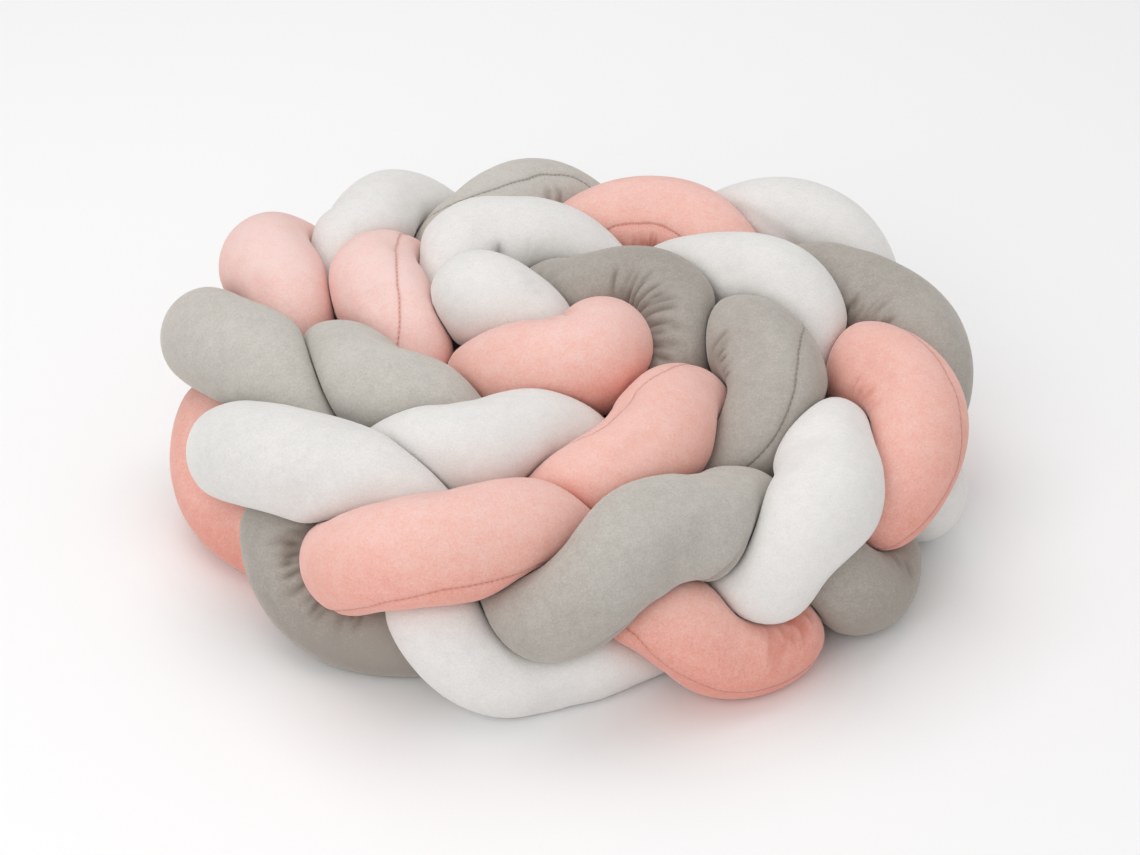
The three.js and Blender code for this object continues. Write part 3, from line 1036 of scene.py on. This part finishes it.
class BUMPER_OT_tubes(bpy.types.Operator):
    """Make the three plaited velvet tubes"""

    bl_idname = "bumper.tubes"
    bl_label = "Velvet tubes"

    def execute(self, context):
        sizes = context.scene.bumper_sizes
        groups = {
            "pile_colour": pile_colour_group(),
            "pile_relief": pile_relief_group(),
            "seam": seam_group(),
        }
        paths = settled_paths()
        for owner, name in enumerate(TUBES):
            skin = Skin(owner, paths, sizes, sizes)
            filling = context.scene.bumper_filling
            coarse = Skin(owner, paths, sizes, filling)
            skin.fill_out(coarse, filled_offset(context, coarse, filling))
            for tube, line, width, depth in CREASES:
                if tube == name:
                    skin.crease(line, width * MM, depth * MM)
            chance = np.random.default_rng(owner)
            for tube, first, last, count, length, depth in PLEATS:
                if tube == name:
                    skin.pleat(first, last, count, length * MM, depth * MM, chance)
            skin.crease(SEAMS[name], SEAM_WIDTH, SEAM_DEPTH)
            piece = make_mesh(name + "_velvet_tube", skin.points(), *skin.faces())
            point_attribute(piece, "seam_lines", skin.seam_lines(SEAMS[name]))
            # The tone holds painted light and shade along with the pile's own tone, and the fold
            # attribute is painted shade.
            tone = skin.brushed(CREST_TONES_AND_PAINTED_LIGHT[name], FEET_PAINTED_SHADE_AND_LIGHT[name], UPPER_SIDE_PAINTED_LIGHT[name])
            point_attribute(piece, "brushed", tone)
            point_attribute(piece, "folded", skin.with_tips(skin.folded[:, :, None]))
            velvet = getattr(context.scene, name + "_velvet")
            piece.data.materials.append(velvet_material(name, groups, velvet))
            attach(piece, "root")
            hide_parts(name + "_tube")
        return {"FINISHED"}


class BUMPER_OT_studio(bpy.types.Operator):
    """Make the floor, the lights and the camera"""

    bl_idname = "bumper.studio"
    bl_label = "Studio"

    def execute(self, context):
        studio = context.scene.bumper_studio
        mesh = bpy.data.meshes.new("floor")
        half = FLOOR_HALF
        corners = [(-half, -half, 0), (half, -half, 0), (half, half, 0), (-half, half, 0)]
        mesh.from_pydata(corners, [], [(0, 1, 2, 3)])
        floor = bpy.data.objects.new("floor", mesh)
        context.scene.collection.objects.link(floor)
        material = bpy.data.materials.new("pale_floor")
        material.use_nodes = True
        shader = material.node_tree.nodes["Principled BSDF"].inputs
        for socket, value in FLOOR_FINISH.items():
            shader[socket].default_value = value
        mesh.materials.append(material)

        world = bpy.data.worlds.new("studio")
        world.use_nodes = True
        background = world.node_tree.nodes["Background"].inputs
        background["Color"].default_value = (1, 1, 1, 1)
        background["Strength"].default_value = SURROUNDING_LIGHT
        context.scene.world = world

        for name, place, size, power in SOFTBOXES:
            light = bpy.data.lights.new(name, "AREA")
            light.shape = "SQUARE"
            light.size = size
            light.energy = power
            lamp = bpy.data.objects.new(name, light)
            context.scene.collection.objects.link(lamp)
            lamp.location = place
            aim = SOFTBOX_AIM - lamp.location
            lamp.rotation_euler = aim.to_track_quat("-Z", "Y").to_euler()

        camera = bpy.data.cameras.new("camera")
        camera.lens = studio.lens
        camera.sensor_width = SENSOR_WIDTH
        eye = bpy.data.objects.new("camera", camera)
        context.scene.collection.objects.link(eye)
        back = Vector((0, -math.cos(studio.elevation), math.sin(studio.elevation)))
        eye.location = CAMERA_TARGET + studio.distance * back
        eye.rotation_euler = (-back).to_track_quat("-Z", "Y").to_euler()
        context.scene.camera = eye
        context.scene.view_settings.view_transform = "Standard"
        return {"FINISHED"}


class BUMPER_PT_panel(bpy.types.Panel):
    """Sizes, colours and operators of the bumper"""

    bl_idname = "BUMPER_PT_panel"
    bl_label = "Braided crib bumper"
    bl_space_type = "VIEW_3D"
    bl_region_type = "UI"
    bl_category = "Bumper"

    def draw(self, context):
        for name in SETTINGS:
            settings = getattr(context.scene, name)
            box = self.layout.box()
            for key in settings.__annotations__:
                box.prop(settings, key)
        for operator in OPERATORS:
            self.layout.operator(operator.bl_idname)


# Colours of the three velvets, set on their settings before the tubes are made. Deep and pale
# take painted shade and light along with the pile's tone, and shaded is painted shade.
VELVETS = {
    "white": {
        "deep": (0.66, 0.65, 0.63),
        "plain": (0.785, 0.765, 0.745),
        "pale": (0.88, 0.865, 0.845),
        "shaded": (0.52, 0.50, 0.47),
        "sewn": (0.58, 0.58, 0.57),
    },
    "pink": {
        "deep": (0.78, 0.32, 0.25),
        "plain": (0.87, 0.49, 0.42),
        "pale": (0.89, 0.66, 0.62),
        "shaded": (0.62, 0.20, 0.14),
        "sewn": (0.60, 0.20, 0.16),
    },
    "grey": {
        "deep": (0.34, 0.305, 0.27),
        "plain": (0.46, 0.43, 0.39),
        "pale": (0.60, 0.575, 0.53),
        "shaded": (0.20, 0.17, 0.14),
        "sewn": (0.20, 0.18, 0.16),
    },
}

SETTINGS = {
    "bumper_sizes": BumperSizes,
    "bumper_filling": Filling,
    "white_velvet": Velvet,
    "pink_velvet": Velvet,
    "grey_velvet": Velvet,
    "bumper_studio": StudioSettings,
}
OPERATORS = (BUMPER_OT_tubes, BUMPER_OT_studio)


def register():
    for group in dict.fromkeys(SETTINGS.values()):
        bpy.utils.register_class(group)
    for operator in OPERATORS:
        bpy.utils.register_class(operator)
    bpy.utils.register_class(BUMPER_PT_panel)
    for name, group in SETTINGS.items():
        setattr(bpy.types.Scene, name, bpy.props.PointerProperty(type=group))


def unregister():
    for name in SETTINGS:
        delattr(bpy.types.Scene, name)
    bpy.utils.unregister_class(BUMPER_PT_panel)
    for operator in reversed(OPERATORS):
        bpy.utils.unregister_class(operator)
    for group in reversed(dict.fromkeys(SETTINGS.values())):
        bpy.utils.unregister_class(group)


def main():
    register()
    for name, colours in VELVETS.items():
        for key, colour in colours.items():
            setattr(getattr(bpy.context.scene, name + "_velvet"), key, colour)
    bpy.ops.bumper.tubes()
    bpy.ops.bumper.studio()


if __name__ == "__main__":
    main()
